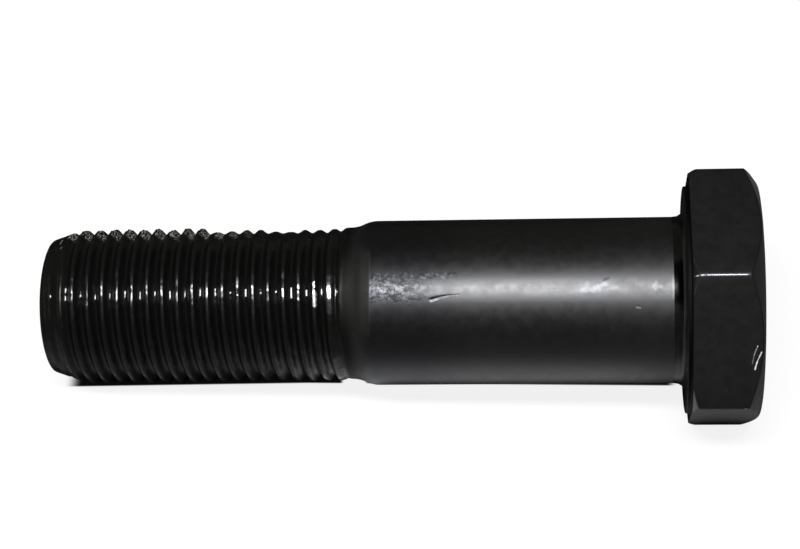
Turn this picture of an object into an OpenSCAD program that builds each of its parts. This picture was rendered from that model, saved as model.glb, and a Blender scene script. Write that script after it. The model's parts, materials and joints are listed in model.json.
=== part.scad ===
// Ring gear bolt: a hexagon fit bolt, M16 x 1.5, that clamps a crown wheel to its differential case.
// It lies on a bench as it comes to rest: one flat of the head and the crests at the tip carry it.
// X runs along the bolt from the tip to the head, Z is up, and the origin is on the bench
// under the middle of the outline.

/* [Head] */
// Distance across the flats of the hexagon
across_flats = 23.5; // [19.5:0.1:30]
// Height of the head, washer face included
head_height = 7.2; // [5:0.1:14]
// How far the chamfer cuts in from the flats on top of the head
top_face_inset = 0.35; // [0.2:0.05:2]
// Slope of the chamfer on top of the head, from the top face
top_chamfer_angle = 35; // [10:1:45]
// How far the small chamfer on the bearing side cuts in from the corners
bearing_chamfer = 0.85; // [0.1:0.05:1]
// Slope of that chamfer, from the bearing side
bearing_chamfer_angle = 30; // [10:1:45]
// How far the forged corners fall short of a sharp hexagon
corner_relief = 0.1; // [0.05:0.05:0.4]
// How far the washer face stays inside the flats
washer_face_inset = 0.5; // [0.3:0.05:0.7]
// How far the washer face stands out from the hexagon
washer_face_height = 0.4; // [0.2:0.05:0.8]

/* [Shank] */
// Length from the washer face to the tip
length = 63.5; // [45:0.5:120]
// How far the fit body, which locates the ring gear, stands over the thread crests
body_step = 0.325; // [0.1:0.025:0.6]
// Radius of the fillet between the fit body and the head
head_fillet = 1.1; // [0.3:0.05:1.5]
// Depth of the neck behind the thread, where the thread roller runs out, under the crests
neck_step = 0.3; // [0.1:0.025:1.5]
// Length of the neck
neck_length = 0.3; // [0.2:0.1:6]
// Length of the smooth rise from the neck to the fit body
rise_length = 2.8; // [1.5:0.1:8]

/* [Thread] */
// Diameter over the thread crests
thread_diameter = 15.85; // [12:0.05:19.05]
// Length from the tip to the last crest
thread_length = 29.8; // [10:0.1:38]
// Depth of the chamfer that leads into the thread, at the tip
tip_inset = 1.175; // [0.5:0.025:3]
// Length of that chamfer
tip_chamfer_length = 3.4; // [1:0.1:5]
// Distance from one crest to the next
pitch = 1.5; // [1:0.25:2]
// Angle at which the thread starts, about the bolt's axis
thread_start_angle = 262; // [0:1:359]
// Cut the groove of the thread. Left off, the thread is the plain cylinder of its crests,
// which builds at once and is what a hole or a nut is fitted to
cut_thread = false; // [true, false]
// Flat steps in each turn of the groove
steps_per_turn = 24; // [24:6:36]

/* [Hidden] */
STEEL_BLACK = [0.13, 0.13, 0.14];
HEX_SIDES = 6;
HALF_SECTOR = 180 / HEX_SIDES;
ROUND = 96;
OVERLAP = 0.5;
FLANK_ANGLE = 30;
GROOVE_CLEARANCE = 0.02;
FADE_TURNS = 0.75;

flat_radius = across_flats / 2;
corner_radius = flat_radius / cos(HALF_SECTOR) - corner_relief;
top_face_radius = flat_radius - top_face_inset;
washer_face_radius = flat_radius - washer_face_inset;
thread_radius = thread_diameter / 2;
body_radius = thread_radius + body_step;
neck_radius = thread_radius - neck_step;
tip_radius = thread_radius - tip_inset;

neck_start = thread_length + neck_step;
neck_end = neck_start + neck_length;
rise_end = neck_end + rise_length;
rise_middle = (neck_end + rise_end) / 2;
hexagon_start = length + washer_face_height;
head_end = length + head_height;

// Depth of each corner chamfer along the bolt, where its cone meets the corner
bearing_rim_radius = corner_radius - bearing_chamfer;
bearing_chamfer_depth = bearing_chamfer * tan(bearing_chamfer_angle);
top_chamfer_depth = (corner_radius - top_face_radius) * tan(top_chamfer_angle);

// The rise is two equal arcs, hollow at the neck and full at the body, that meet half way up
rise_height = (body_radius - neck_radius) / 2;
rise_run = rise_length / 2;
rise_arc_radius = (rise_run * rise_run + rise_height * rise_height) / (2 * rise_height);

// The groove has an eighth of the pitch left on its crests and a quarter at its flat root. Its mouth
// lies far enough outside the crests for the flat steps to clear them.
groove_depth = 5 / 8 * pitch * cos(FLANK_ANGLE);
root_radius = thread_radius - groove_depth;
mouth_radius = (thread_radius + GROOVE_CLEARANCE) / cos(180 / steps_per_turn);
root_half = pitch / 8;
mouth_half = root_half + (mouth_radius - root_radius) * tan(FLANK_ANGLE);
groove_turns = thread_length / pitch + 1;
groove_steps = ceil(groove_turns * steps_per_turn);

// The bolt leans on the bearing edge of its lowest flat and on the first full crest
lean_angle = atan((flat_radius - thread_radius) / (hexagon_start - tip_chamfer_length));
lift = thread_radius * cos(lean_angle) - tip_chamfer_length * sin(lean_angle);
tip_reach = -tip_radius * sin(lean_angle);
head_reach = head_end * cos(lean_angle) + top_face_radius * sin(lean_angle);

// Half section of the tip, thread and neck: radius outwards, distance from the tip upwards
module thread_section() {
    polygon([
        [0, 0],
        [tip_radius, 0],
        [thread_radius, tip_chamfer_length],
        [thread_radius, thread_length],
        [neck_radius, neck_start],
        [neck_radius, rise_middle],
        [0, rise_middle]
    ]);
}

// Half section of the rise: a square corner hollowed by one arc, then a shoulder rounded by the other
module rise_section() {
    difference() {
        translate([0, neck_end])
            square([neck_radius + rise_height, rise_run]);
        translate([neck_radius + rise_arc_radius, neck_end])
            circle(r = rise_arc_radius, $fn = ROUND);
    }
    intersection() {
        translate([0, rise_middle])
            square([body_radius, rise_run]);
        union() {
            translate([body_radius - rise_arc_radius, rise_end])
                circle(r = rise_arc_radius, $fn = ROUND);
            square([body_radius - rise_arc_radius, head_end]);
        }
    }
}

// Half section of the fit body, with the fillet that runs out into the washer face
module body_section() {
    translate([0, rise_end])
        square([body_radius, length - rise_end + OVERLAP]);
    difference() {
        translate([0, length - head_fillet])
            square([body_radius + head_fillet, head_fillet]);
        translate([body_radius + head_fillet, length - head_fillet])
            circle(r = head_fillet, $fn = ROUND);
    }
}

// How far the groove has climbed out of the steel at a turn: it fades over the last part of one
function groove_climb(turn) =
    max(0, turn - groove_turns + FADE_TURNS) / FADE_TURNS * (mouth_radius - root_radius);

// The four corners of the groove at a turn, which counts from one pitch before the tip
function groove_ring(turn) =
    let (
        middle = (turn - 1) * pitch,
        root = root_radius + groove_climb(turn),
        mouth = mouth_radius + groove_climb(turn),
        angle = thread_start_angle + 360 * turn
    )
    [
        for (corner = [[root, -root_half], [root, root_half], [mouth, mouth_half], [mouth, -mouth_half]])
            [corner[0] * cos(angle), corner[0] * sin(angle), middle + corner[1]]
    ];

// The right-hand groove as one solid: rings joined by flat steps, closed at both ends
module thread_groove() {
    points = [for (i = [0:groove_steps]) each groove_ring(i / steps_per_turn)];
    walls = [
        for (i = [0:groove_steps - 1], side = [0:3])
            let (a = 4 * i + side, b = 4 * i + (side + 1) % 4)
            each [[a, b + 4, b], [a, a + 4, b + 4]]
    ];
    first_end = [0, 1, 2, 3];
    last_end = [for (side = [3:-1:0]) 4 * groove_steps + side];
    polyhedron(points = points, faces = concat([first_end], walls, [last_end]));
}

module shank() {
    difference() {
        rotate_extrude($fn = ROUND) {
            thread_section();
            rise_section();
            body_section();
        }
        if (cut_thread) thread_groove();
    }
}

// Round blank that the hexagon is cut from: a cone at each end chamfers the corners
module head_blank() {
    rotate_extrude($fn = ROUND)
        polygon([
            [0, hexagon_start],
            [bearing_rim_radius, hexagon_start],
            [corner_radius, hexagon_start + bearing_chamfer_depth],
            [corner_radius, head_end - top_chamfer_depth],
            [top_face_radius, head_end],
            [0, head_end]
        ]);
}

module head() {
    intersection() {
        head_blank();
        translate([0, 0, hexagon_start])
            rotate([0, 0, HALF_SECTOR])
                cylinder(r = flat_radius / cos(HALF_SECTOR), h = head_height, $fn = HEX_SIDES);
    }
    translate([0, 0, length])
        cylinder(r = washer_face_radius, h = washer_face_height + OVERLAP, $fn = ROUND);
}

module ring_gear_bolt() {
    color(STEEL_BLACK)
        translate([-(tip_reach + head_reach) / 2, 0, lift])
            rotate([0, 90 - lean_angle, 0]) {
                shank();
                head();
            }
}

ring_gear_bolt();
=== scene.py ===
# %% [markdown]
# # Ring gear bolt
# A ring gear bolt clamps a crown wheel to its differential case. It is one piece of steel: a rolled
# fine thread, a short neck, a thick ground body that locates the gear, and a thin hexagon head.
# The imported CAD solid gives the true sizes. This lesson builds the surface that is looked at: the
# helical thread, the soft edges of a forged head, the knocks of use and the black oxide finish.
#
# Everything below is in the same frame as the CAD solid, so nothing has to be fitted afterwards.

import json

import bpy
import numpy as np
from mathutils import Matrix

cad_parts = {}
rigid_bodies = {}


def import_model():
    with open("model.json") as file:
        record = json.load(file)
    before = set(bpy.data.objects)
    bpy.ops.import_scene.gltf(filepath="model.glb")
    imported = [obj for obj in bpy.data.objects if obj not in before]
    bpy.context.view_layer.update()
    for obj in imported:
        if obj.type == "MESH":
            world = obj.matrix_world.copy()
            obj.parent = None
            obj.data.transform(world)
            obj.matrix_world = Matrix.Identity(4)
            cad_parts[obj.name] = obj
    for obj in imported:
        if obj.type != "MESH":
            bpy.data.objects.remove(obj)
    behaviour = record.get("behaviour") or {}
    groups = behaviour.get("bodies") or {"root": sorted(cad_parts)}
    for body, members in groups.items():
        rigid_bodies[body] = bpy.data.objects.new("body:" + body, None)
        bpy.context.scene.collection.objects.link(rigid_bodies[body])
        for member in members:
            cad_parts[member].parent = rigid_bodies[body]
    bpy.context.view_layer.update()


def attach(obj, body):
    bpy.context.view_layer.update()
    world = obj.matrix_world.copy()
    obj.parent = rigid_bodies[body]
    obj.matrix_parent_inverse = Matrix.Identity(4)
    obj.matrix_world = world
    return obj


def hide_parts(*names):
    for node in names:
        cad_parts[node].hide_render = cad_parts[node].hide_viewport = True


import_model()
MM = 0.001

# %% [markdown]
# ## The sizes that everything follows
# The drawing of a bolt has a handful of sizes, and all the others follow from them. These are the
# CAD solid's, in millimetres, except that the corners of the hexagon lie three thousandths further
# in, so that the visible surface never stands out from the solid.

# %% Driving sizes
ACROSS_FLATS = 23.5
HEAD_HEIGHT = 7.2
TOP_FACE_INSET = 0.35
TOP_CHAMFER_ANGLE = np.radians(35)
CORNER_RADIUS = 13.465
BEARING_CHAMFER = 0.847
BEARING_CHAMFER_ANGLE = np.radians(30)
WASHER_FACE_INSET = 0.5
WASHER_FACE_HEIGHT = 0.4
LENGTH = 63.5
BODY_STEP = 0.325
HEAD_FILLET = 1.1
NECK_STEP = 0.3
NECK_LENGTH = 0.3
RISE_LENGTH = 2.8
THREAD_DIAMETER = 15.85
THREAD_LENGTH = 29.8
PITCH = 1.5
TIP_INSET = 1.175
TIP_CONE = 3.4

# %% Radii, and stations counted from the tip
FLAT_RADIUS = ACROSS_FLATS / 2
TOP_RADIUS = FLAT_RADIUS - TOP_FACE_INSET
WASHER_RADIUS = FLAT_RADIUS - WASHER_FACE_INSET
CREST_RADIUS = THREAD_DIAMETER / 2
TIP_RADIUS = CREST_RADIUS - TIP_INSET
NECK_RADIUS = CREST_RADIUS - NECK_STEP
BODY_RADIUS = CREST_RADIUS + BODY_STEP
NECK_END = THREAD_LENGTH + NECK_STEP + NECK_LENGTH
BODY_START = NECK_END + RISE_LENGTH
HEXAGON_START = LENGTH + WASHER_FACE_HEIGHT
HEAD_END = LENGTH + HEAD_HEIGHT
print("the body runs from", round(BODY_START, 2), "to", LENGTH, "and the head ends at", HEAD_END)

# %% [markdown]
# ## The bolt's own axes
# The bolt lies on a bench. Its head is wider than its thread, so its axis leans up by a few degrees:
# the edge of the lowest flat and the first full crest carry it. Turned parts are easiest to describe by
# the station along the axis from the tip, the angle about the axis, and the radius. One function turns
# those into points of the scene, and every shape below is written in them, in millimetres.

# %% From station, angle and radius to the scene
LEAN = np.arctan((FLAT_RADIUS - CREST_RADIUS) / (HEXAGON_START - TIP_CONE))
AXIS = np.array([np.cos(LEAN), 0.0, np.sin(LEAN)])
DOWN = np.array([np.sin(LEAN), 0.0, -np.cos(LEAN)])
ACROSS = np.array([0.0, 1.0, 0.0])

tip_reach = -TIP_RADIUS * np.sin(LEAN)
head_reach = HEAD_END * np.cos(LEAN) + TOP_RADIUS * np.sin(LEAN)
lift = CREST_RADIUS * np.cos(LEAN) - TIP_CONE * np.sin(LEAN)
TIP_CENTRE = np.array([-(tip_reach + head_reach) / 2, 0.0, lift])


def bolt_point(angle, station, radius):
    """Tip centre, plus station along the axis, plus radius outwards at the angle from straight down."""
    outwards = np.cos(angle)[..., None] * DOWN + np.sin(angle)[..., None] * ACROSS
    return (TIP_CENTRE + station[..., None] * AXIS + radius[..., None] * outwards) * MM


print("the axis leans up by", round(float(np.degrees(LEAN)), 2), "degrees")

# %% [markdown]
# ## Where the spokes go
# The mesh is a grid. Its columns, the spokes, run along the bolt, each at one angle. A round shank
# needs one every two or three degrees, the hexagon's corners and the knocks far closer ones. So the
# spokes follow a density: the wanted number per radian is summed round the bolt, and a spoke is set
# each time the sum has grown by one. Marks are placed by their bearing: how far above the side that
# faces the viewer they lie.

# %% Spokes
TURN = 2 * np.pi
FACING = np.radians(220.74)
CORNER_ANGLES = np.radians(30 + 60 * np.arange(6))
CORNER_REACH = np.radians(0.95)
CORNER_STEP = np.radians(0.16)
COARSE_STEP = np.radians(2.7)
GOUGED_STEP = np.radians(0.42)
GOUGED_FROM, GOUGED_TO = np.radians([0.5, 8.0])
BURRED_STEP = np.radians(1.0)
BURRED_FROM, BURRED_TO = np.radians([60.0, 100.0])
DENSITY_SAMPLES = 20000


def turned(angle, centre):
    """The angle seen from a centre, wrapped to half a turn either way."""
    return (angle - centre + np.pi) % TURN - np.pi


def bearing_of(angle):
    """How far above the side that faces the viewer a spoke lies."""
    return -turned(angle, FACING)


def spoke_density(angle):
    """Coarse everywhere, closer on the burred and the gouged strip, closest at the hexagon's corners."""
    to_corner = np.abs(turned(angle[:, None], CORNER_ANGLES[None, :])).min(axis=1)
    up = bearing_of(angle)
    step = np.where((up > BURRED_FROM) & (up < BURRED_TO), BURRED_STEP, COARSE_STEP)
    step = np.where((up > GOUGED_FROM) & (up < GOUGED_TO), GOUGED_STEP, step)
    return 1 / np.where(to_corner < CORNER_REACH, CORNER_STEP, step)


dial = np.linspace(0, TURN, DENSITY_SAMPLES + 1)
dial_density = spoke_density(dial[:-1])
spoke_sum = np.concatenate([[0], np.cumsum(dial_density)]) * TURN / DENSITY_SAMPLES
SPOKES = int(round(spoke_sum[-1]))
spokes = np.interp(np.arange(SPOKES) * spoke_sum[-1] / SPOKES, spoke_sum, dial)
print(SPOKES, "spokes")

# %% [markdown]
# ## Soft noise for metal that has been used
# Nothing rolled, forged or knocked is perfectly even. A small smooth noise, made from a seeded table of
# random heights, gives the crests their uneven tops. It repeats after one turn, so it has no seam.
# The other two functions are soft switches, which say where such a thing starts and stops.

# %% Smooth seeded noise and soft switches
SPARE_ROWS = 3


def soft_noise(across, along, cells, seed):
    """Random heights, -1 to 1, on whole numbers, joined smoothly. across repeats after cells."""
    rows = int(np.ceil(along.max())) + SPARE_ROWS
    table = np.random.default_rng(seed).uniform(-1, 1, (cells, rows))
    column = np.floor(across).astype(int)
    row = np.floor(along).astype(int)
    u = across - column
    v = along - row
    u = u * u * (3 - 2 * u)
    v = v * v * (3 - 2 * v)
    near = table[column % cells, row] * (1 - u) + table[(column + 1) % cells, row] * u
    far = table[column % cells, row + 1] * (1 - u) + table[(column + 1) % cells, row + 1] * u
    return near * (1 - v) + far * v


def ramp(value, start, end):
    """0 before start, 1 after end, and a smooth S between them."""
    t = np.clip((value - start) / (end - start), 0, 1)
    return t * t * (3 - 2 * t)


def plateau(value, rise, fall):
    """1 between a rise and a fall, 0 outside. Each is given by the two values that it lies between."""
    return ramp(value, *rise) * (1 - ramp(value, *fall))


# %% [markdown]
# ## The plain shape of the shank
# Before its thread is rolled, a bolt is a turned blank: a cone at the tip, a cylinder for the thread, a
# neck that is a little thinner, and a thicker body. The neck rises to the body in two arcs, one hollow
# and one full, which meet half way up.

# %% Radius from the neck to the body
rise_run = RISE_LENGTH / 2
rise_step = (BODY_RADIUS - NECK_RADIUS) / 2
rise_arc = (rise_run**2 + rise_step**2) / (2 * rise_step)


def arc_depth(along):
    """How far the arc has left its tangent after a run along it: R - sqrt(R2 - along2)."""
    return rise_arc - np.sqrt(rise_arc**2 - np.clip(along, 0, rise_run) ** 2)


def neck_to_body(station):
    """The neck, then the hollow arc, the full arc, and the body."""
    hollow = NECK_RADIUS + arc_depth(station - NECK_END)
    full = BODY_RADIUS - arc_depth(BODY_START - station)
    return np.where(station < NECK_END + rise_run, hollow, full)


print("the arcs of the rise have a radius of", round(rise_arc, 2))

# %% [markdown]
# ## The thread
# The thread is one helical groove, 1.5 mm from turn to turn, pressed in by rolling dies, so its crests and
# roots are soft. It could be a ridge swept along a helix, but then it would only be stuck into the
# shank. Here the shank's own surface is the thread: the radius swings between root and crest once in
# each pitch. The crest itself is slightly domed, which is what lets it catch the lamp in a thin line.

# %% The wave of the thread
CREST_STATION = 3.58
CREST_HALF = 0.09
CREST_DOME = 0.012
CREST_SPREAD = 0.06
BROAD_CRESTS = (27.0, 29.6)
ROOT_HALF = 0.07
FLANK_EASE = 0.15


def crest_phase(angle, station):
    """Share of a pitch from the nearest crest, -0.5 to 0.5. The crest climbs a pitch in each turn."""
    turns = (station - CREST_STATION) / PITCH - (angle - FACING) / TURN
    return turns - np.round(turns)


def thread_height(phase, station):
    """1 on top of the crest, less a parabola for its dome, and 0 in the root.

    The flank between them is a straight line with a small share of a smooth S. The last crests are broad.
    """
    crest_half = CREST_HALF + CREST_SPREAD * ramp(station, *BROAD_CRESTS)
    down = np.clip((np.abs(phase) - crest_half) / (0.5 - ROOT_HALF - crest_half), 0, 1)
    eased = down * down * (3 - 2 * down)
    dome = np.clip(phase / crest_half, -1, 1) ** 2
    return 1 - CREST_DOME * dome - (1 - CREST_DOME) * (FLANK_EASE * eased + (1 - FLANK_EASE) * down)


print("full crests towards the viewer:", 1 + int((THREAD_LENGTH - CREST_STATION) / PITCH))

# %% [markdown]
# ### Knocks on the crests
# On its upper side this thread has been knocked about: each crest is lower by its own amount, and the
# first ones carry small torn lumps. The list holds how much each crest has lost, counted from the tip,
# because such knocks follow no rule.

# %% Burrs and knocked-down crests
BURR = 0.12
BURR_CELLS = 140
BURR_ROWS_PER_MM = 3.1
BURR_SEED = 11
BURR_BEARINGS = [(62, 70), (92, 102)]
BURR_STATIONS = [(1.0, 2.5), (15.0, 19.0)]
WEAR_BEARINGS = [(40, 70), (95, 130)]
TOP_WEAR = [
    0.24, 0.22, 0.29, 0.17, 0.20, 0.27, 0.20, 0.30, 0.12, 0.18,
    0.57, 0.43, 0.30, 0.28, 0.50, 0.54, 0.30, 0.36, 0.27,
]


def burr_lumps(angle, station):
    """Soft noise, where the bearing and the station lie within the burred area."""
    place = plateau(np.degrees(bearing_of(angle)), *BURR_BEARINGS) * plateau(station, *BURR_STATIONS)
    return place * soft_noise(angle / TURN * BURR_CELLS, station * BURR_ROWS_PER_MM, BURR_CELLS, BURR_SEED)


def top_wear(angle, station):
    """The entry of TOP_WEAR for the crest's number, on the upper side."""
    crest_number = 1 + (station - CREST_STATION) / PITCH - (angle - FACING) / TURN
    lost = np.interp(crest_number, np.arange(len(TOP_WEAR)), TOP_WEAR)
    return lost * plateau(np.degrees(bearing_of(angle)), *WEAR_BEARINGS)


print("the crests are knocked down by up to", max(TOP_WEAR), "mm")

# %% [markdown]
# ### The whole thread
# The crests get lower towards the neck, as the dies leave them, and wobble a little all round. The cone
# of the tip cuts them with a soft edge. At the other end the thread fades out into the neck.

# %% Radius of the thread
ROOT_RADIUS = 7.13
CREST_DROP = 0.10
DROP_FROM = 8.0
THREAD_FADE_START = 28.9
THREAD_FADE_END = 30.4
WOBBLE = 0.05
WOBBLE_CELLS = 26
WOBBLE_ROWS_PER_MM = 1.3
WOBBLE_SEED = 5
BLEND_WIDTH = 0.04
LARGEST_POWER = 30


def soft_minimum(first, second):
    """first - w log(1 + exp((first - second) / w)): the smaller one, blended over a width of w."""
    power = np.clip((first - second) / BLEND_WIDTH, -LARGEST_POWER, LARGEST_POWER)
    return first - BLEND_WIDTH * np.log1p(np.exp(power))


def thread_radius(angle, station):
    """Root plus the height of the crest there, cut by the tip's cone, and faded out into the neck."""
    crest = CREST_RADIUS - CREST_DROP * ramp(station, DROP_FROM, THREAD_FADE_START)
    around = angle / TURN * WOBBLE_CELLS
    uneven = soft_noise(around, station * WOBBLE_ROWS_PER_MM, WOBBLE_CELLS, WOBBLE_SEED)
    crest = crest - WOBBLE * (1 + uneven) - BURR * burr_lumps(angle, station) - top_wear(angle, station)
    wall = ROOT_RADIUS + (crest - ROOT_RADIUS) * thread_height(crest_phase(angle, station), station)
    cone = TIP_RADIUS + (CREST_RADIUS - TIP_RADIUS) * station / TIP_CONE
    fade_out = ramp(station, THREAD_FADE_START, THREAD_FADE_END)
    return soft_minimum(wall, cone) * (1 - fade_out) + neck_to_body(station) * fade_out


# %% [markdown]
# ## Rows that climb with the helix
# If the rows of the grid ran straight round, each crest would cut across them like a staircase. Here
# they climb with the helix: a row that starts on the crest stays on it all the way round. Where the
# last spoke meets the first, a row is joined to the one a whole pitch further on, which is just how
# far the helix has climbed.

# %% Rows of the thread
THREAD_START = 0.3
THREAD_END = 30.7
ROW_PHASES = np.array([0, 0.05, 0.09, 0.15, 0.28, 0.425, 0.465, 0.535, 0.575, 0.72, 0.85, 0.91, 0.95])
ROWS_PER_PITCH = len(ROW_PHASES)

first_crest = CREST_STATION - FACING / TURN * PITCH
climb_start = first_crest - np.ceil((first_crest - THREAD_START) / PITCH + 1) * PITCH
climb_rows = int(np.ceil((THREAD_END - climb_start) / PITCH + 1)) * ROWS_PER_PITCH
row_number = np.arange(climb_rows)
row_station = climb_start + PITCH * (row_number // ROWS_PER_PITCH + ROW_PHASES[row_number % ROWS_PER_PITCH])
thread_stations = np.clip(row_station[:, None] + PITCH * spokes[None, :] / TURN, THREAD_START, THREAD_END)
thread_angles = np.broadcast_to(spokes, thread_stations.shape)
thread_radii = thread_radius(thread_angles, thread_stations)
print(climb_rows, "rows in the thread")

# %% [markdown]
# ## The tip
# The tip is sheared off flat and its edge is worn round. It needs only a few rings: a point in the
# middle, the flat, and the round edge up to where the thread's rows begin.

# %% Rings of the tip
TIP_EDGE = 0.18
TIP_EDGE_RINGS = 5
TIP_FLAT_RADII = np.array([0.0, 2.0, 4.0, 5.6])


def rounded_knee(before, knee, after, steps):
    """Leaves one line and joins the next without a corner: a quadratic Bezier over three points."""
    t = np.linspace(0, 1, steps)[:, None]
    return (1 - t) ** 2 * before + 2 * t * (1 - t) * knee + t**2 * after


cone_run = np.array([CREST_RADIUS - TIP_RADIUS, TIP_CONE])
along_cone = cone_run / np.linalg.norm(cone_run)
tip_knee = np.array([TIP_RADIUS, 0.0])
tip_edge = rounded_knee(tip_knee - [TIP_EDGE, 0], tip_knee, tip_knee + along_cone * TIP_EDGE, TIP_EDGE_RINGS)
tip_flat = np.column_stack([TIP_FLAT_RADII, np.zeros_like(TIP_FLAT_RADII)])
tip_profile = np.vstack([tip_flat, tip_edge])
print("tip rings:", len(tip_profile))

# %% [markdown]
# ## The body and its gouge
# The body is a ground cylinder. In use something hard has scored it near the neck: a short curved
# gouge, steep above and flatter below, deepest where it starts. It has a real shape, so it goes into
# the mesh: the rings lie close together there, and the radius dips by the depth of a lopsided V.

# %% Radius of the body
GOUGE_START = 38.95
GOUGE_END = 42.1
GOUGE_LEAD = 0.10
GOUGE_BITE = 0.15
GOUGE_LOW = np.radians(2.5)
GOUGE_CLIMB = np.radians(3.4)
GOUGE_DEPTH = 0.06
GOUGE_SHALLOWING = 1.3
UPPER_WALL = 0.12
LOWER_WALL = 0.20
THINNEST_WALL = 0.05
BODY_END = 61.0


def gouge_depth(angle, station):
    """A V across the gouge's line. The line climbs and flattens, the V narrows and shallows along it."""
    t = np.clip((station - GOUGE_START) / (GOUGE_END - GOUGE_START), 0, 1)
    line = GOUGE_LOW + GOUGE_CLIMB * (1 - (1 - t) ** 2)
    above = BODY_RADIUS * (bearing_of(angle) - line)
    upper = 1 - above / (UPPER_WALL * (1 - t) + THINNEST_WALL)
    lower = 1 + above / (LOWER_WALL * (1 - t) + THINNEST_WALL)
    bite = ramp(station, GOUGE_START - GOUGE_LEAD, GOUGE_START + GOUGE_BITE)
    depth = GOUGE_DEPTH * (1 - t) ** GOUGE_SHALLOWING * bite
    return depth * np.clip(np.minimum(upper, lower), 0, 1)


ring_places = [
    (THREAD_END, BODY_START, 16),
    (BODY_START, GOUGE_START - GOUGE_LEAD, 18),
    (GOUGE_START - GOUGE_LEAD, GOUGE_END, 29),
    (GOUGE_END, BODY_END, 13),
]
stretches = [np.linspace(start, end, rings)[1:] for start, end, rings in ring_places]
body_stations = np.concatenate([[THREAD_END], *stretches])
print(len(body_stations), "rings in the neck and body")

# %% [markdown]
# ## The head
# The head is forged as a hexagon, then turned: a thin round washer face is left under it, and cones cut
# the corners on both sides, which leaves the arched edges that every hexagon head shows. A box with
# bevels would miss those arcs. Here each spoke has its own outline, because the hexagon's side lies at
# a different radius at each angle, and the cones cut it where they meet it.
#
# A forged corner is never sharp. Seen along the bolt it is a hyperbola, whose asymptotes are the two
# flats, so they run into the blunt corner without a kink.

# %% The hexagon seen along the bolt
HALF_SECTOR = np.radians(30)
SHARP_RADIUS = FLAT_RADIUS / np.cos(HALF_SECTOR)
CORNER_RELIEF = SHARP_RADIUS - CORNER_RADIUS
BEARING_RIM = CORNER_RADIUS - BEARING_CHAMFER
BEARING_SLOPE = np.tan(BEARING_CHAMFER_ANGLE)
TOP_SLOPE = np.tan(TOP_CHAMFER_ANGLE)


def hexagon_radius(angle):
    """Where a spoke meets the hyperbola of the nearest corner: the nearer root of a quadratic."""
    from_flat = np.abs((angle + HALF_SECTOR) % (2 * HALF_SECTOR) - HALF_SECTOR)
    from_corner = HALF_SECTOR - from_flat
    spread = np.cos(from_corner) ** 2 - np.sin(from_corner) ** 2 * np.tan(HALF_SECTOR) ** 2
    reach = SHARP_RADIUS * np.cos(from_corner)
    return (reach - np.sqrt(reach**2 - spread * (SHARP_RADIUS**2 - CORNER_RELIEF**2))) / spread


print("corners at", round(float(hexagon_radius(CORNER_ANGLES[:1])[0]), 3))

# %% [markdown]
# ### One outline for each spoke
# All outlines have the same knots: fillet, washer face, bearing chamfer, side and top chamfer. The last
# number of a knot is how far it is rounded, as on the real edge. In the middle of a flat the bearing
# chamfer shrinks to a sliver.

# %% Outline of the head on every spoke
SLIVER = 0.02
KNOT_STEPS = 5
LONGEST_SHARE = 0.45
NO_LENGTH = 1e-9


def knots_of_head(angle):
    """Radius, station and roundness of each knot, from the foot of the fillet to the middle of the top."""
    side = hexagon_radius(angle)
    rim = np.minimum(BEARING_RIM, side - SLIVER)
    same = np.ones_like(angle)
    lower = HEXAGON_START + (side - rim) * BEARING_SLOPE
    upper = HEAD_END - (side - TOP_RADIUS) * TOP_SLOPE
    return [
        (BODY_RADIUS * same, BODY_END * same, 0.0),
        (BODY_RADIUS * same, LENGTH * same, HEAD_FILLET),
        (WASHER_RADIUS * same, LENGTH * same, 0.12),
        (WASHER_RADIUS * same, HEXAGON_START * same, 0.08),
        (rim, HEXAGON_START * same, 0.12),
        (side, lower, 0.35),
        (side, upper, 0.18),
        (TOP_RADIUS * same, HEAD_END * same, 0.25),
        (0 * same, HEAD_END * same, 0.0),
    ]


def rounded_outline(knots, steps):
    """Each inner knot becomes a quadratic Bezier, which starts and ends its roundness away from it."""
    points = [np.stack(knot[:2], axis=-1) for knot in knots]
    t = np.linspace(0, 1, steps)[:, None, None]
    rows = [points[0]]
    for number in range(1, len(knots) - 1):
        knot = points[number]
        back = points[number - 1] - knot
        ahead = points[number + 1] - knot
        back_length = np.linalg.norm(back, axis=-1, keepdims=True)
        ahead_length = np.linalg.norm(ahead, axis=-1, keepdims=True)
        reach = np.minimum(knots[number][2], LONGEST_SHARE * np.minimum(back_length, ahead_length))
        enter = knot + back / np.maximum(back_length, NO_LENGTH) * reach
        leave = knot + ahead / np.maximum(ahead_length, NO_LENGTH) * reach
        rows.extend((1 - t) ** 2 * enter + 2 * t * (1 - t) * knot + t**2 * leave)
    rows.append(points[-1])
    return np.array(rows)


head_outline = rounded_outline(knots_of_head(spokes), KNOT_STEPS)
print(len(head_outline), "rings in the head")

# %% [markdown]
# ## One closed skin
# All rows are stacked from the tip to the head, and faces join each row to the next. Inside the thread,
# the seam between the last spoke and the first jumps one pitch. Everywhere else it joins the same row.

# %% Stack the rows
def rings_of(profile):
    """Radius and station of each ring, the same at every spoke."""
    return [np.repeat(column[:, None], SPOKES, axis=1) for column in np.asarray(profile).T]


tip_radii, tip_stations = rings_of(tip_profile)
body_grid = np.repeat(body_stations[:, None], SPOKES, axis=1)
body_angles = np.broadcast_to(spokes, body_grid.shape)
body_radii = neck_to_body(body_grid) - gouge_depth(body_angles, body_grid)

radii = np.vstack([tip_radii, thread_radii, body_radii, head_outline[1:, :, 0]])
stations = np.vstack([tip_stations, thread_stations, body_grid, head_outline[1:, :, 1]])
angles = np.broadcast_to(spokes, radii.shape)
grid_points = bolt_point(angles, stations, radii)
print(radii.shape[0], "rows of", SPOKES, "points")

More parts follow.
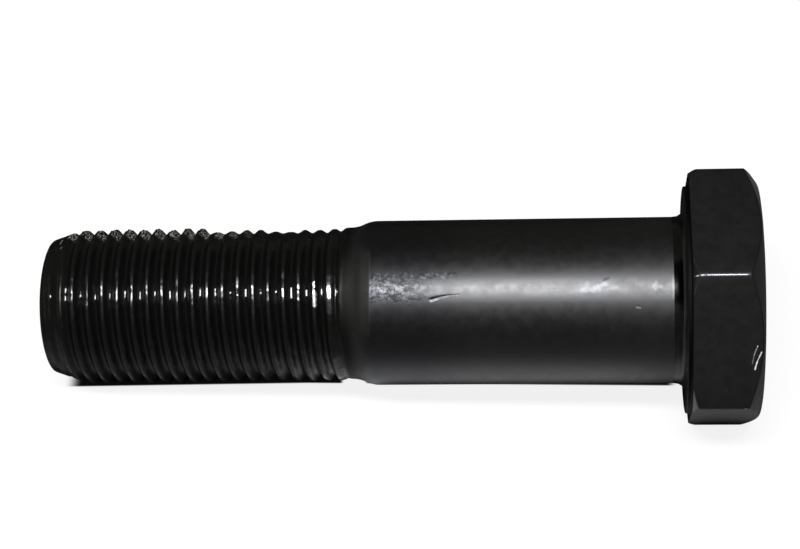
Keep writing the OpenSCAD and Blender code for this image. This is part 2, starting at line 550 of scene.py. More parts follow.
# %% Join them with faces
def skin_faces(total_rows, thread_first, thread_last):
    """Quads between neighbour rows and spokes. Across the seam, thread rows meet the one a pitch on."""
    row = np.arange(total_rows - 1)[:, None]
    column = np.arange(SPOKES)[None, :]
    beside = (column + 1) % SPOKES
    inside = (row >= thread_first) & (row < thread_last) & (column == SPOKES - 1)
    jump = np.where(inside, ROWS_PER_PITCH, 0)
    furthest = np.where(inside, thread_last, total_rows - 1)
    near = np.minimum(row + jump, furthest)
    far = np.minimum(row + 1 + jump, furthest)
    corners = [
        row * SPOKES + column,
        near * SPOKES + beside,
        far * SPOKES + beside,
        (row + 1) * SPOKES + column,
    ]
    return np.stack(np.broadcast_arrays(*corners), axis=-1).reshape(-1, 4)


thread_first = len(tip_profile)
quads = skin_faces(len(radii), thread_first, thread_first + climb_rows - 1)
print("quads before the weld:", len(quads))

# %% [markdown]
# ### Weld and drop what has shrunk
# The rows clipped at the thread's ends lie on one ring, and the middles of the tip and the head are one
# point each. Vertices on the same spot are welded, each quad is split into two triangles, and triangles
# with two equal corners are dropped. What is left is as closed as the real bolt.

# %% Weld
WELD_DIGITS = 9


def weld(points, faces):
    """Points that agree to a millionth of a millimetre become one, and no empty triangle is left."""
    _, first, merged = np.unique(
        np.round(points, WELD_DIGITS), axis=0, return_index=True, return_inverse=True
    )
    faces = merged.reshape(-1)[faces]
    split = np.vstack([faces[:, [0, 1, 2]], faces[:, [0, 2, 3]]])
    a, b, c = split.T
    whole = (a != b) & (b != c) & (c != a)
    return first, split[whole]


flat_points = grid_points.reshape(-1, 3)
kept_points, triangles = weld(flat_points, quads)
skin_points = flat_points[kept_points]
print(len(skin_points), "vertices,", len(triangles), "triangles")

# %% [markdown]
# ### The mesh and what it carries
# The skin becomes a mesh, shaded smooth. Each vertex keeps its station, its bearing in degrees, its
# radius, how near it is to a crest, and on which flank it lies. The flank is a sine, so it has no jump
# where one pitch ends. The material places every finish by these numbers.

# %% Make the mesh
bolt_mesh = bpy.data.meshes.new("ring_gear_bolt_skin")
bolt_mesh.from_pydata(skin_points.tolist(), [], triangles.tolist())
bolt_mesh.polygons.foreach_set("use_smooth", np.ones(len(triangles), bool))


def store(name, values):
    """Keeps one number per vertex under a name that the material can read."""
    layer = bolt_mesh.attributes.new(name, "FLOAT", "POINT")
    layer.data.foreach_set("value", values.reshape(-1)[kept_points].astype(np.float32))


NO_CREST = 0.5
phase = crest_phase(angles, stations)
in_thread = (stations < THREAD_FADE_END) & (stations > THREAD_START)
store("station", stations)
store("bearing", np.degrees(bearing_of(angles)))
store("crest", np.where(in_thread, thread_height(phase, stations), NO_CREST))
store("radius", radii)
store("flank", np.sin(phase * TURN))
bolt_mesh.update()

# %% Put it in the scene
def add_object(name, data):
    """A new object at the origin."""
    made = bpy.data.objects.new(name, data)
    bpy.context.scene.collection.objects.link(made)
    return made


bolt = add_object("ring_gear_bolt_visual", bolt_mesh)
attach(bolt, "root")
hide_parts("ring_gear_bolt")
print("bolt box in mm:", [round(v / MM, 3) for v in (*skin_points.min(0), *skin_points.max(0))])

# %% [markdown]
# ## Blackened steel
# Black oxide is a thin dark skin on bare steel, wiped with oil. It is metal, so Metallic is 1 or a
# little less, and the dark base colour makes its reflections weak. Torn burrs, chips and scratches are
# too rough to mirror anything and count as dull. What tells the rest apart is mostly roughness: the
# rolled thread is glossy, the ground body satin, the forged head duller.
#
# A material is a tree of nodes. Each of these helpers makes a small group of them and hands back its
# output.

# %% Helpers that make nodes
def empty_tree(owner):
    """The node tree of a material or a world, emptied."""
    owner.use_nodes = True
    owner.node_tree.nodes.clear()
    return owner.node_tree


def put(socket, value):
    """A link if the value comes from another node, otherwise the value itself."""
    if isinstance(value, bpy.types.NodeSocket):
        tree.links.new(value, socket)
    else:
        socket.default_value = value


def calc(operation, *values):
    """One Math node."""
    made = tree.nodes.new("ShaderNodeMath")
    made.operation = operation
    for socket, value in zip(made.inputs, values):
        put(socket, value)
    return made.outputs[0]


def chain(operation, values):
    """A Math operation carried on over all the values."""
    result = values[0]
    for value in values[1:]:
        result = calc(operation, result, value)
    return result


def product(*values):
    """All values multiplied."""
    return chain("MULTIPLY", values)


def total(*values):
    """All values added."""
    return chain("ADD", values)


def largest(*values):
    """The largest of the values."""
    return chain("MAXIMUM", values)


steel = bpy.data.materials.new("blackened_steel")
tree = empty_tree(steel)

# %% Helpers that fade and mix
def fade(value, start, end, low=0.0, high=1.0):
    """A smooth change from low at start to high at end. start may be the larger one."""
    made = tree.nodes.new("ShaderNodeMapRange")
    made.interpolation_type = "SMOOTHSTEP"
    names = ("Value", "From Min", "From Max", "To Min", "To Max")
    for name, number in zip(names, (value, start, end, low, high)):
        put(made.inputs[name], number)
    return made.outputs[0]


def window(value, rise, fall):
    """1 between a rise and a fall, each given by the two values that it lies between."""
    return product(fade(value, *rise), fade(value, *fall, 1.0, 0.0))


def between(amount, low, high):
    """A number part of the way from low to high."""
    made = tree.nodes.new("ShaderNodeMix")
    made.data_type = "FLOAT"
    put(made.inputs["Factor"], amount)
    put(made.inputs["A"], low)
    put(made.inputs["B"], high)
    return made.outputs["Result"]


def dye(amount, first, second):
    """A colour part of the way from the first to the second."""
    made = tree.nodes.new("ShaderNodeMix")
    made.data_type = "RGBA"
    put(made.inputs[0], amount)
    put(made.inputs[6], first)
    put(made.inputs[7], second)
    return made.outputs[2]


# %% Helpers that read the surface
coordinates = tree.nodes.new("ShaderNodeTexCoord").outputs["Object"]


def read(name):
    """A number that the mesh carries."""
    made = tree.nodes.new("ShaderNodeAttribute")
    made.attribute_name = name
    return made.outputs["Fac"]


def speckle(size_mm, detail=2.0, roughness=0.5, stretch=(1.0, 1.0, 1.0)):
    """Noise on the object's own coordinates, with blotches of about the given size."""
    place = tree.nodes.new("ShaderNodeMapping")
    put(place.inputs["Scale"], stretch)
    put(place.inputs["Vector"], coordinates)
    made = tree.nodes.new("ShaderNodeTexNoise")
    put(made.inputs["Vector"], place.outputs["Vector"])
    put(made.inputs["Scale"], 1 / (size_mm * MM))
    put(made.inputs["Detail"], detail)
    put(made.inputs["Roughness"], roughness)
    return made.outputs["Fac"]


station, bearing, crest, radius, flank = map(read, ["station", "bearing", "crest", "radius", "flank"])
print("the material reads five numbers of the mesh")

# %% [markdown]
# ### Zones
# A zone is a number from 0 to 1 that says how much of a finish is present. The seat is the polished end
# of the body with its fillet. Then come the washer face, its rim, and the head with its bearing chamfer.

# %% Zones along the bolt
neck_zone = fade(station, 29.9, 30.5)
thread_zone = calc("SUBTRACT", 1.0, neck_zone)
ground_edge = fade(station, 32.95, 33.15)
seat_zone = fade(station, 62.26, 62.36)
underside_zone = fade(station, 62.60, 63.0)
face_zone = fade(station, 63.20, 63.50)
rim_zone = fade(station, 63.50, 63.56)
head_zone = fade(station, 63.90, 64.00)
top_zone = fade(station, 70.60, 70.68)

chamfer_rise = product(calc("SUBTRACT", radius, BEARING_RIM), BEARING_SLOPE)
from_chamfer = calc("SUBTRACT", station, chamfer_rise)
chamfer_zone = product(fade(from_chamfer, 64.02, 63.92), fade(radius, 12.60, 12.70), head_zone)

# %% [markdown]
# Other zones lie round the bolt, where the lamp's reflection runs at a bearing of about 7 degrees. The
# ground body starts sharply on that side and softly elsewhere. On that side the fillet carries painted
# light: a painted dark strip where the lamp's reflection would run, a thin painted bright ring at its
# top, and a painted glint where the body ends.

# %% Zones round the bolt
LAMP_LINE = 7.0
lamp_side_zone = window(bearing, (-26.0, -14.0), (30.0, 46.0))
lamp_line_zone = window(bearing, (-8.0, 3.0), (23.0, 32.0))
below_lamp_side = fade(bearing, -16.0, -34.0)
from_lamp_line = calc("ABSOLUTE", calc("SUBTRACT", bearing, LAMP_LINE))
ground_zone = between(lamp_side_zone, fade(station, 30.8, 33.1), ground_edge)
# Painted highlight: a thin bright ring at the top of the fillet, on the front side.
painted_fillet_ring = product(
    window(station, (63.14, 63.30), (63.36, 63.48)),
    window(bearing, (-22.0, -2.0), (40.0, 60.0)),
)
# Painted highlight: a glint where the body ends, only where the lamp's reflection runs.
painted_end_glint = product(
    fade(station, 62.08, 62.16),
    calc("SUBTRACT", 1.0, seat_zone),
    window(bearing, (0.0, 4.0), (14.0, 19.0)),
)

# %% [markdown]
# ### Grain
# A few noises serve many marks, so that what is dark, rough and sunken in one place agrees. Their sizes
# are in millimetres.

# %% Noises that the marks share
fine_grain = speckle(0.22, detail=3.0, roughness=0.6)
pits = speckle(0.50, detail=5.0, roughness=0.72, stretch=(0.7, 1.0, 1.0))
blotches = speckle(1.1, detail=3.0, roughness=0.55)
dots = speckle(0.34, detail=1.0)
wander = calc("SUBTRACT", speckle(0.30, detail=2.0), 0.5)

# %% [markdown]
# ### Marks of use
# Each scuff is a short stroke. Its mask is the distance from a point of the surface to the stroke's
# line, worked out with Math nodes in millimetres on the unrolled surface: station one way, bearing
# times radius the other. A little noise on the distance makes its edge ragged.

# %% A stroke's mask
MM_PER_DEGREE = BODY_RADIUS * np.radians(1)
RAGGEDNESS = 1.1
NO_RUN = 1e-6


def stroke(start, end, half_width, core, radius_share):
    """1 on the line from start to end, each (station, bearing), falling to 0 from core to half width."""
    scale = MM_PER_DEGREE * radius_share
    run = np.array([end[0] - start[0], (end[1] - start[1]) * scale])
    length = float(np.linalg.norm(run)) + NO_RUN
    along_x, along_y = (run / length).tolist()
    from_x = calc("SUBTRACT", station, start[0])
    from_y = product(calc("SUBTRACT", bearing, start[1]), scale)
    progress = total(product(from_x, along_x), product(from_y, along_y))
    held = calc("MINIMUM", calc("MAXIMUM", progress, 0.0), length)
    off_x = calc("SUBTRACT", from_x, product(held, along_x))
    off_y = calc("SUBTRACT", from_y, product(held, along_y))
    distance = calc("SQRT", total(product(off_x, off_x), product(off_y, off_y)))
    ragged_distance = total(distance, product(wander, half_width * RAGGEDNESS))
    return fade(ragged_distance, half_width * core, half_width, 1.0, 0.0)


def strokes(marks, radius_share=1.0):
    """The largest of several strokes. A mark is its start, end, half width, core and strength."""
    made = []
    for start, end, half_width, core, strength in marks:
        made.append(product(stroke(start, end, half_width, core, radius_share), strength))
    return largest(*made)


# %% [markdown]
# ### The rubbed patch
# Next to the neck something gritty has rubbed the body: a strip of fine pits and bright metal in the
# lamp's reflection, with a straight start, a ragged end, and loose dots along its upper border.

# %% The patch beside the neck
PATCH_PITS = [
    ((35.40, 4.7), (36.25, 4.3), 0.16, 0.1, 0.8),
    ((36.95, 3.4), (38.05, 2.8), 0.18, 0.1, 0.9),
    ((33.70, 7.9), (33.95, 7.0), 0.20, 0.1, 0.9),
]
PATCH_LIGHTS = [
    ((33.55, 10.9), (34.35, 11.0), 0.20, 0.1, 0.9),
    ((34.25, 9.0), (34.60, 8.4), 0.26, 0.1, 0.7),
    ((34.50, 12.0), (34.95, 14.6), 0.14, 0.1, 0.6),
    ((33.12, 0.8), (33.14, 17.5), 0.10, 0.1, 0.5),
]
RAGGED_DEGREES = 16.0
RAGGED_MM_PER_DEGREE = 0.15

ragged = product(calc("SUBTRACT", speckle(0.7, detail=4.0, roughness=0.7), 0.5), RAGGED_DEGREES)
patch_area = product(
    fade(station, 33.0, 33.12),
    fade(total(station, product(ragged, RAGGED_MM_PER_DEGREE)), 35.0, 40.5, 1.0, 0.0),
    window(total(bearing, ragged), (1.2, 2.4), (15.0, 21.0)),
)
patch = product(patch_area, fade(pits, 0.48, 0.60))
patch_pitted = product(patch_area, fade(pits, 0.60, 0.42))
patch_start = product(patch_area, fade(station, 33.2, 34.8, 1.0, 0.0))
upper_border = product(
    window(station, (33.0, 33.4), (41.2, 41.8)),
    window(bearing, (15.5, 17.5), (20.5, 23.0)),
)
border_pits = largest(product(upper_border, fade(dots, 0.46, 0.38), 0.7), strokes(PATCH_PITS))
patch_lights = largest(strokes(PATCH_LIGHTS), product(upper_border, fade(dots, 0.57, 0.66), 0.9))
print("patch:", len(PATCH_PITS), "pits and", len(PATCH_LIGHTS), "bright strokes beside its grain")

# %% [markdown]
# ### Scuffs, nicks and the gouge's lip
# Further along, the lamp's reflection shows bright scuffs, one fleck and some dark nicks. The gouge has
# a shape of its own, so here it only gets its colours: painted shade as a dark line along its steep wall
# and over part of its lower lip, and bare metal where that lip starts.

# %% Marks on the body
SCUFFS = [
    ((53.60, 8.0), (55.20, 9.0), 0.46, 0.1, 0.9),
    ((54.70, 9.0), (55.80, 12.2), 0.42, 0.1, 1.0),
    ((54.02, 10.0), (54.10, 12.6), 0.42, 0.0, 0.5),
    ((55.40, 8.0), (56.90, 9.6), 0.26, 0.0, 0.3),
    ((60.52, 7.9), (60.62, 12.6), 0.24, 0.0, 0.8),
    ((60.40, 10.3), (61.05, 10.0), 0.34, 0.0, 0.9),
]
FLECKS = [((58.76, -3.8), (59.04, -4.3), 0.15, 0.35, 1.0)]
DARK_NICKS_AND_GOUGE_SHADE = [
    ((55.65, 14.6), (56.10, 15.9), 0.22, 0.0, 0.7),
    ((58.80, -2.6), (59.05, -3.0), 0.14, 0.0, 0.6),
    ((38.50, 4.2), (39.20, 3.6), 0.26, 0.0, 0.6),
    # Painted shade: these four darken the gouge's steep wall and part of its lower lip.
    ((39.10, 4.2), (39.60, 5.4), 0.10, 0.35, 0.7),
    ((39.60, 5.4), (40.70, 6.1), 0.08, 0.35, 0.6),
    ((40.70, 6.1), (41.85, 6.2), 0.07, 0.35, 0.6),
    ((39.95, 3.1), (41.40, 5.1), 0.14, 0.3, 0.45),
]
GOUGE_LIP = [
    ((39.05, 1.7), (39.60, 2.6), 0.15, 0.35, 1.0),
    ((39.60, 2.6), (40.60, 4.1), 0.13, 0.35, 0.1),
]
scuffs = strokes(SCUFFS)
flecks = strokes(FLECKS)
dark_nicks_and_gouge_shade = strokes(DARK_NICKS_AND_GOUGE_SHADE)
gouge_lip = strokes(GOUGE_LIP)
print("strokes on the body:", len(SCUFFS + FLECKS + DARK_NICKS_AND_GOUGE_SHADE + GOUGE_LIP))

# %% [markdown]
# ### Marks on the thread
# The torn crests of the first turns hold pale dust, on the flanks that face the head and in the valleys
# beside them, and two flecks of it lie on the tip's cone. Near the neck a few crests carry painted glints
# and a painted soft glow where the lamp's reflection falls, and one a rubbed bright streak.

# %% Burrs, and painted glints on crests
TIP_FLECKS = [
    ((1.32, 61.0), (1.36, 68.0), 0.14, 0.35, 0.55),
    ((1.62, 52.5), (1.62, 54.5), 0.14, 0.35, 0.4),
]
# Painted glints and a painted soft glow on crests near the neck, and one rubbed streak.
CREST_GLINTS_AND_RUBS = [
    ((27.66, -0.8), (27.66, 8.6), 0.27, 0.25, 1.0),
    ((27.64, 13.3), (27.64, 13.6), 0.17, 0.35, 1.0),
    ((27.63, 16.2), (27.63, 16.5), 0.13, 0.35, 1.0),
    ((29.07, 5.2), (29.06, 12.4), 0.31, 0.1, 1.0),
    ((29.08, -5.0), (29.06, 20.0), 0.45, 0.0, 0.12),
    ((26.05, 12.5), (26.05, 12.9), 0.16, 0.35, 1.0),
    ((29.80, 8.6), (29.80, 10.0), 0.12, 0.35, 0.7),
]
burr_area = product(
    window(station, (0.8, 2.0), (16.5, 23.0)),
    window(bearing, (64.0, 71.0), (86.0, 95.0)),
)
burr_side = largest(fade(flank, -0.1, 0.6), product(fade(crest, 0.20, 0.05), 0.9))
burr_grain = fade(speckle(0.20, detail=3.0, roughness=0.6), 0.48, 0.60)
burrs = largest(product(burr_side, burr_grain, burr_area), strokes(TIP_FLECKS))
crest_glints_and_rubs = strokes(CREST_GLINTS_AND_RUBS)
crest_line = product(thread_zone, fade(crest, 0.985, 0.999), fade(blotches, 0.35, 0.6, 0.6, 1.0))

# %% [markdown]
# ### Marks on the head
# Along the corner that points at the lamp, bare steel runs as a thin line with a few white chips towards
# the washer face: partly a worn edge, partly a painted highlight where the lamp's reflection runs. The top
# chamfer is scratched. The head is wider than the body, so its strokes are measured on a larger circle.

# %% Scratches, and the worn corner with its painted highlight
HEAD_SCRATCHES = [
    ((69.66, -32.2), (69.86, -28.4), 0.11, 0.35, 1.0),
    ((69.86, -28.4), (70.25, -24.0), 0.08, 0.35, 1.0),
    ((69.85, -21.3), (69.87, -21.1), 0.10, 0.35, 1.0),
    ((69.40, -29.5), (69.55, -25.5), 0.08, 0.35, 0.30),
    ((69.55, -25.5), (69.80, -22.0), 0.08, 0.35, 0.50),
    ((68.80, -49.9), (68.88, -49.8), 0.16, 0.35, 0.30),
]
HEAD_RADIUS_SHARE = 1.45
LAMP_CORNER = 10.45

head_scratches = strokes(HEAD_SCRATCHES, HEAD_RADIUS_SHARE)
from_corner = calc("ABSOLUTE", calc("SUBTRACT", bearing, LAMP_CORNER))
lamp_corner_line = fade(from_corner, 0.15, 0.36, 1.0, 0.0)
# Worn edge and painted highlight along the corner that faces the lamp.
corner_wear_and_highlight = product(
    lamp_corner_line,
    window(station, (65.12, 65.22), (68.80, 68.95)),
    fade(station, 65.4, 67.2, 0.65, 1.0),
    fade(fine_grain, 0.38, 0.50, 0.7, 1.0),
)
# White chips on that line, partly painted glints.
corner_chips_and_glints = product(
    largest(
        product(fade(station, 63.95, 64.00), 0.2),
        product(window(station, (64.12, 64.18), (64.36, 64.42)), 0.9),
        product(window(station, (64.60, 64.66), (64.80, 64.86)), 0.7),
    ),
    lamp_corner_line,
    fade(station, 65.00, 65.12, 1.0, 0.0),
)
print("strokes on the head:", len(HEAD_SCRATCHES))

# %% [markdown]
# ### Colour
# The oxide is nearly black, a little paler on the ground body, the forged head and the crests. The
# colours are laid over each other like coats, each with the amount of it that is present. A small
# share of bare steel is often enough, because in the lamp's reflection it shines.

# %% Colours
OXIDE_THREAD = (0.0265, 0.0265, 0.0250, 1.0)
OXIDE_ROOT = (0.0320, 0.0320, 0.0310, 1.0)
OXIDE_NECK_FOOT = (0.0160, 0.0160, 0.0150, 1.0)
OXIDE_NECK_RISE = (0.0490, 0.0490, 0.0460, 1.0)
OXIDE_NECK = (0.0345, 0.0345, 0.0320, 1.0)
OXIDE_NEAR_NECK = (0.0575, 0.0575, 0.0590, 1.0)
OXIDE_BODY = (0.0770, 0.0765, 0.0760, 1.0)
OXIDE_SEAT = (0.0620, 0.0620, 0.0610, 1.0)
# A near-black painted shade for the fillet where the lamp's reflection would run.
PAINTED_SEAT_SHADE = (0.0050, 0.0050, 0.0050, 1.0)
# Painted shade for the fillet's end and the washer face on the side below the lamp.
PAINTED_UNDERSIDE_SHADE = (0.0200, 0.0200, 0.0200, 1.0)
OXIDE_RIM = (0.0100, 0.0100, 0.0100, 1.0)
OXIDE_HEAD = (0.0600, 0.0575, 0.0590, 1.0)
OXIDE_CHAMFER = (0.1150, 0.1120, 0.1140, 1.0)
WORN_CREST_AND_SHEEN = (0.0720, 0.0720, 0.0700, 1.0)
DARK_PIT_AND_SHADE = (0.0220, 0.0220, 0.0230, 1.0)
DUST = (0.60, 0.60, 0.52, 1.0)
CHIP_AND_GLINT_WHITE = (0.85, 0.85, 0.84, 1.0)
# Bare steel for real wear, also used as painted highlight on the fillet and the head's corner.
BARE_STEEL_AND_HIGHLIGHT = (0.40, 0.41, 0.44, 1.0)

# %% Lay the coats
neck_colour = dye(fade(station, 30.1, 32.0), OXIDE_NECK_FOOT, OXIDE_NECK_RISE)
neck_colour = dye(fade(station, 32.2, 32.9), neck_colour, OXIDE_NECK)
coats = [
    (neck_zone, neck_colour),
    # Crest lines worn paler, and paler still near the lamp's reflection: a painted sheen.
    (product(crest_line, fade(from_lamp_line, 11.0, 24.0, 1.0, 0.30)), WORN_CREST_AND_SHEEN),
    (ground_zone, OXIDE_BODY),
    (product(ground_zone, fade(station, 37.0, 44.0, 1.0, 0.0)), OXIDE_NEAR_NECK),
    (seat_zone, OXIDE_SEAT),
    # Painted shade: the fillet is darker where the lamp's reflection would run on it.
    (product(seat_zone, lamp_line_zone), PAINTED_SEAT_SHADE),
    # Painted shade: on the side below the lamp the fillet's end and the washer face stay darker.
    (product(underside_zone, below_lamp_side, 0.8), PAINTED_UNDERSIDE_SHADE),
    (product(face_zone, fade(below_lamp_side, 0.0, 1.0, 1.0, 0.3)), OXIDE_HEAD),
    (rim_zone, OXIDE_RIM),
    (head_zone, OXIDE_HEAD),
    (chamfer_zone, OXIDE_CHAMFER),
    # Painted highlights: bare steel for the glint at the body's end and the ring on the fillet.
    (product(painted_end_glint, 0.10), BARE_STEEL_AND_HIGHLIGHT),
    (product(painted_fillet_ring, 0.9), BARE_STEEL_AND_HIGHLIGHT),
    (product(patch_pitted, 0.85), DARK_PIT_AND_SHADE),
    (product(border_pits, 0.8), DARK_PIT_AND_SHADE),
    (product(patch_start, 0.45), DARK_PIT_AND_SHADE),
    (product(patch, fade(station, 34.4, 36.0, 0.03, 0.07)), BARE_STEEL_AND_HIGHLIGHT),
    (product(patch_lights, 0.14), BARE_STEEL_AND_HIGHLIGHT),
    (product(scuffs, 0.15), BARE_STEEL_AND_HIGHLIGHT),
    (product(flecks, 0.45), BARE_STEEL_AND_HIGHLIGHT),
    (product(gouge_lip, 0.12), BARE_STEEL_AND_HIGHLIGHT),
    # Dark nicks, and painted shade in the gouge.
    (product(dark_nicks_and_gouge_shade, 0.9), DARK_PIT_AND_SHADE),
    (burrs, DUST),
    (crest_glints_and_rubs, CHIP_AND_GLINT_WHITE),
    (corner_wear_and_highlight, BARE_STEEL_AND_HIGHLIGHT),
    (largest(head_scratches, corner_chips_and_glints), CHIP_AND_GLINT_WHITE),
]
colour = dye(fade(crest, 0.10, 0.02), OXIDE_THREAD, OXIDE_ROOT)
for amount, coat in coats:
    colour = dye(amount, colour, coat)
print(len(coats), "coats of colour")

# %% [markdown]
# ### Roughness
# The rolled thread mirrors the lamp in its roots and on its crests, and breaks it up into glints, because
# its gloss comes in spots. The ground body spreads the same lamp into a soft band. Roughness wanders
# with the blotches, so that no highlight has a ruled edge.

# %% Lay the roughness
gloss_spots = fade(speckle(0.45, detail=2.0), 0.46, 0.62)
root_gloss = product(fade(crest, 0.12, 0.04), fade(bearing, -26.0, -12.0))
crest_gloss = fade(speckle(0.40, detail=1.0), 0.47, 0.55, 0.10, 0.19)
roughness = between(root_gloss, 0.34, between(gloss_spots, 0.05, 0.12))
zone_roughness = [
    (crest_line, crest_gloss),
    (neck_zone, 0.62),
    (ground_zone, fade(station, 52.0, 61.0, 0.385, 0.43)),
    (seat_zone, 0.24),
    (face_zone, 0.48),
    (rim_zone, 0.62),
    (head_zone, 0.48),
]
for amount, level in zone_roughness:
    roughness = between(amount, roughness, level)
roughness = total(roughness, fade(blotches, 0.3, 0.7, -0.03, 0.03))
mark_roughness = [
    (patch_area, fade(pits, 0.40, 0.60, 0.46, 0.36)),
    (burrs, 0.5),
    (corner_wear_and_highlight, 0.30),
    (crest_glints_and_rubs, 0.30),
]
for amount, level in mark_roughness:
    roughness = between(amount, roughness, level)
print(len(zone_roughness) + len(mark_roughness), "levels of roughness")

# %% [markdown]
# ### Bump
# What is too fine for the mesh is bump, in millimetres of height: faint turning rings on the body and
# the top of the head, forging grain, the uneven skin of the thread, the grit of the patch. The rings
# are a noise of station plus radius, so they run round the shank and round the top face alike.

# %% Heights
RINGS_PER_MM = 9.0
TOP_RING_SHARE = 6.0
rings_noise = tree.nodes.new("ShaderNodeTexNoise")
rings_noise.noise_dimensions = "1D"
put(rings_noise.inputs["W"], product(total(station, radius), RINGS_PER_MM))
put(rings_noise.inputs["Scale"], 1.0)
put(rings_noise.inputs["Detail"], 2.0)

relief = total(
    product(rings_noise.outputs["Fac"], between(top_zone, ground_edge, TOP_RING_SHARE), 0.0012),
    product(pits, patch_area, 0.012),
    product(speckle(0.35, detail=3.0), head_zone, 0.006),
    product(speckle(1.3, detail=1.0), thread_zone, 0.12),
    product(speckle(0.50, detail=0.0), thread_zone, 0.010),
    product(burrs, 0.05),
    product(head_scratches, -0.05),
)
bump = tree.nodes.new("ShaderNodeBump")
put(bump.inputs["Distance"], MM)
put(bump.inputs["Height"], relief)

# %% [markdown]
# ### The shader
# All of it ends in one Principled shader. The thread is a little less than fully metallic, because its
# thicker oil film scatters some light by itself.

# %% Put the finish together
dull = largest(
    burrs,
    head_scratches,
    corner_chips_and_glints,
    product(crest_glints_and_rubs, 0.7),
    product(thread_zone, 0.12),
)
shader = tree.nodes.new("ShaderNodeBsdfPrincipled")
put(shader.inputs["Metallic"], calc("SUBTRACT", 1.0, dull))
put(shader.inputs["Base Color"], colour)
put(shader.inputs["Roughness"], roughness)
put(shader.inputs["Normal"], bump.outputs["Normal"])
surface = tree.nodes.new("ShaderNodeOutputMaterial")
put(surface.inputs["Surface"], shader.outputs["BSDF"])
bolt.data.materials.append(steel)
print("nodes in the finish:", len(tree.nodes))

# %% [markdown]
# ## The bench
# The bolt lies on a plain white bench. In a product photograph the bench comes out white, while the
# metal above it mirrors a dark studio. So the bench has two looks: to the camera it is white and keeps
# the bolt's shadow, and to the bolt it shows painted light and shade, which the metal mirrors.

# %% The bench as an object
BENCH_HALF = 900 * MM
bench_mesh = bpy.data.meshes.new("bench")
bench_corners = [(x * BENCH_HALF, y * BENCH_HALF, 0) for x, y in ((-1, -1), (1, -1), (1, 1), (-1, 1))]
bench_mesh.from_pydata(bench_corners, [], [(0, 1, 2, 3)])
bench = add_object("bench", bench_mesh)

bench_white = bpy.data.materials.new("bench_white")
tree = empty_tree(bench_white)
split = tree.nodes.new("ShaderNodeSeparateXYZ")
put(split.inputs[0], tree.nodes.new("ShaderNodeTexCoord").outputs["Object"])
bench_x = calc("DIVIDE", split.outputs["X"], MM)
bench_y = calc("DIVIDE", split.outputs["Y"], MM)
print("the bench is", round(2 * BENCH_HALF, 2), "m wide")

# %% [markdown]
# ### What the bolt sees
# These are painted levels of light over the bench's X and Y, in millimetres, which only the bolt's
# reflections show. A painted pool of light lies in front of the body, dimmer towards the tip and the
# head, and comes closer to the bolt at the neck. Further off the bench is painted dim, and under and
# behind the bolt it is painted dark.

# %% Levels of the painted light
beyond = fade(bench_y, -45.0, -20.0, 0.12, 0.22)
painted_pool_left = fade(bench_x, -9.5, -6.5, 0.34, 0.92)
painted_pool_right = fade(bench_x, 22.0, 30.0, 0.85, 0.38)
in_front = between(fade(bench_y, -24.0, -13.5), beyond, calc("MINIMUM", painted_pool_left, painted_pool_right))
behind = fade(bench_x, 38.0, 52.0, 0.02, 0.40)
under_neck = window(bench_x, (-10.0, -7.0), (-3.5, -0.5))
from_painted_pool = calc("SUBTRACT", bench_y, product(under_neck, 2.2))
painted_reflection_tone = between(fade(from_painted_pool, -8.6, -6.6), in_front, behind)

# %% [markdown]
# ### The contact shadow
# Right under the bolt no light arrives, and that thin dark line is what makes it look heavy. A painted
# contact shadow darkens the bench there, behind two straight edges, one under the thread and one under
# the body, with a gap of light at the neck.

# %% Where the bench is painted dark
THREAD_EDGE = (0.0606, -2.374)
BODY_EDGE = (0.03219, -2.657)


def straight_edge(slope, offset):
    """Y of a straight line at the bench's X."""
    return total(product(bench_x, slope), offset)


front_edge = calc("MINIMUM", straight_edge(*THREAD_EDGE), straight_edge(*BODY_EDGE))
past_edge = calc("SUBTRACT", bench_y, front_edge)
beside_neck = largest(fade(bench_x, -6.6, -6.0, 1.0, 0.0), fade(bench_x, -4.2, -3.4))
# Painted contact shadow: 1 where the bench is painted dark.
contact = product(
    fade(past_edge, -0.10, 0.15),
    fade(bench_y, -1.5, 7.0, 1.0, 0.0),
    window(bench_x, (-35.5, -33.2), (27.0, 28.5)),
    largest(beside_neck, fade(bench_y, -2.2, -1.6)),
)
# The share of the bench outside the painted contact shadow.
outside_painted_shadow = fade(contact, 0.0, 1.0, 1.0, 0.003)

# %% [markdown]
# ### What the camera sees
# For camera rays the bench is mostly its own soft glow, which makes it white without any lamp, plus a
# small diffuse share, on which the bolt's real shadow falls. Both are dimmed under the painted contact
# shadow.

# %% The bench's two looks
GLOW = 0.86
SHADOW_SHARE = 0.18


def diffuse(level):
    """A matt grey of one level, a number or a socket."""
    mixed = tree.nodes.new("ShaderNodeCombineColor")
    for socket in mixed.inputs[:3]:
        put(socket, level)
    made = tree.nodes.new("ShaderNodeBsdfDiffuse")
    put(made.inputs["Color"], mixed.outputs[0])
    return made.outputs[0]


glow = tree.nodes.new("ShaderNodeEmission")
put(glow.inputs["Strength"], product(outside_painted_shadow, GLOW))
seen_by_camera = tree.nodes.new("ShaderNodeAddShader")
put(seen_by_camera.inputs[0], diffuse(product(outside_painted_shadow, SHADOW_SHARE)))
put(seen_by_camera.inputs[1], glow.outputs[0])
choice = tree.nodes.new("ShaderNodeMixShader")
put(choice.inputs[0], tree.nodes.new("ShaderNodeLightPath").outputs["Is Camera Ray"])
# The bolt's reflections see the painted pool of light and the painted shade.
put(choice.inputs[1], diffuse(painted_reflection_tone))
put(choice.inputs[2], seen_by_camera.outputs[0])
surface = tree.nodes.new("ShaderNodeOutputMaterial")
put(surface.inputs["Surface"], choice.outputs[0])
bench.data.materials.append(bench_white)
print("nodes in the bench:", len(tree.nodes))

# %% [markdown]
# ## The room
# Beyond the bench the camera sees white, and the bolt sees a dim room with slightly warm walls, which
# fills the upper side of the metal with an even, very dark grey.

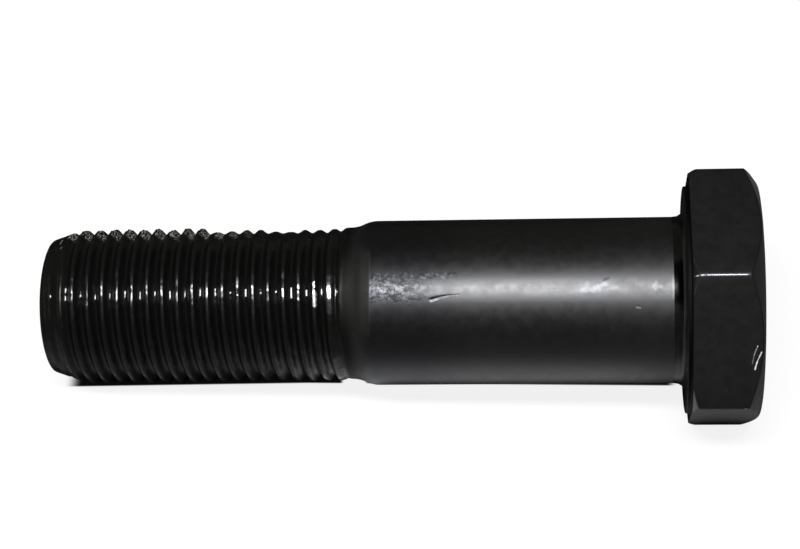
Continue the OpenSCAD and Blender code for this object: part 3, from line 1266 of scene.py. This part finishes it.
# %% The world
ROOM_LEVEL = 0.085
ROOM_TINT = (1.0, 0.99, 0.90, 1.0)
WHITE = (1.0, 1.0, 1.0, 1.0)
world = bpy.data.worlds.new("room")
bpy.context.scene.world = world
tree = empty_tree(world)
for_camera = tree.nodes.new("ShaderNodeLightPath").outputs["Is Camera Ray"]
room = tree.nodes.new("ShaderNodeBackground")
put(room.inputs["Color"], dye(for_camera, ROOM_TINT, WHITE))
put(room.inputs["Strength"], between(for_camera, ROOM_LEVEL, 1.0))
output = tree.nodes.new("ShaderNodeOutputWorld")
put(output.inputs["Surface"], room.outputs[0])
print("the room's level is", ROOM_LEVEL)

# %% [markdown]
# ## The long lamp
# One long soft lamp hangs above the front. Its reflection is the bright line along the body: its width
# and distance set how wide that line is, its height where it runs. The camera doesn't see the lamp.

# %% A lamp along the bolt
LAMP_ELEVATION = np.radians(68)
LAMP_DISTANCE = 500 * MM
LAMP_LENGTH = 320 * MM
LAMP_WIDTH = 60 * MM
LAMP_WATTS = 2.7
LAMP_TINT = (0.98, 0.99, 1.03)
LAMP_AIM = np.array([-32.0, 0.0, 12.0]) * MM


def placed(side, up, back, place):
    """A lamp's or camera's matrix: its own X, Y and Z axes as columns, and where it stands."""
    matrix = np.eye(4)
    matrix[:3] = np.column_stack([side, up, back, place])
    return Matrix(matrix.tolist())


lamp_data = bpy.data.lights.new("long_lamp", "AREA")
lamp_data.shape = "RECTANGLE"
lamp_data.size = LAMP_LENGTH
lamp_data.size_y = LAMP_WIDTH
lamp_data.energy = LAMP_WATTS
lamp_data.color = LAMP_TINT
lamp = add_object("long_lamp", lamp_data)
lamp_back = np.array([0.0, -np.cos(LAMP_ELEVATION), np.sin(LAMP_ELEVATION)])
lamp_side = np.array([1.0, 0.0, 0.0])
lamp_place = LAMP_AIM + lamp_back * LAMP_DISTANCE
lamp.matrix_world = placed(lamp_side, np.cross(lamp_back, lamp_side), lamp_back, lamp_place)
lamp.visible_camera = False
print("lamp at", np.round(lamp_place, 3).tolist())

# %% [markdown]
# ## The camera
# The camera stands where the photographer's did: in front, half way up, and a little to the right. Its
# place and its axes come from fitting the crests, the shank's outline and the head's corners in the
# photograph. The side axis is made square to the back axis.

# %% Place the camera
CAMERA_PLACE = np.array([10.194, -128.481, 164.387]) * MM
CAMERA_BACK = np.array([0.05242, -0.64934, 0.75869])
CAMERA_SIDE = np.array([0.99818, 0.05679, -0.02037])
CAMERA_LENS = 90
SENSOR_WIDTH = 36
NEAREST_SEEN = 10 * MM
camera_data = bpy.data.cameras.new("camera")
camera_data.lens = CAMERA_LENS
camera_data.sensor_width = SENSOR_WIDTH
camera_data.clip_start = NEAREST_SEEN
camera = add_object("camera", camera_data)
back = CAMERA_BACK / np.linalg.norm(CAMERA_BACK)
side = CAMERA_SIDE - back * (CAMERA_SIDE @ back)
side = side / np.linalg.norm(side)
camera.matrix_world = placed(side, np.cross(back, side), back, CAMERA_PLACE)
bpy.context.scene.camera = camera
bpy.context.scene.view_settings.view_transform = "Standard"
print("camera at", np.round(CAMERA_PLACE, 3).tolist())
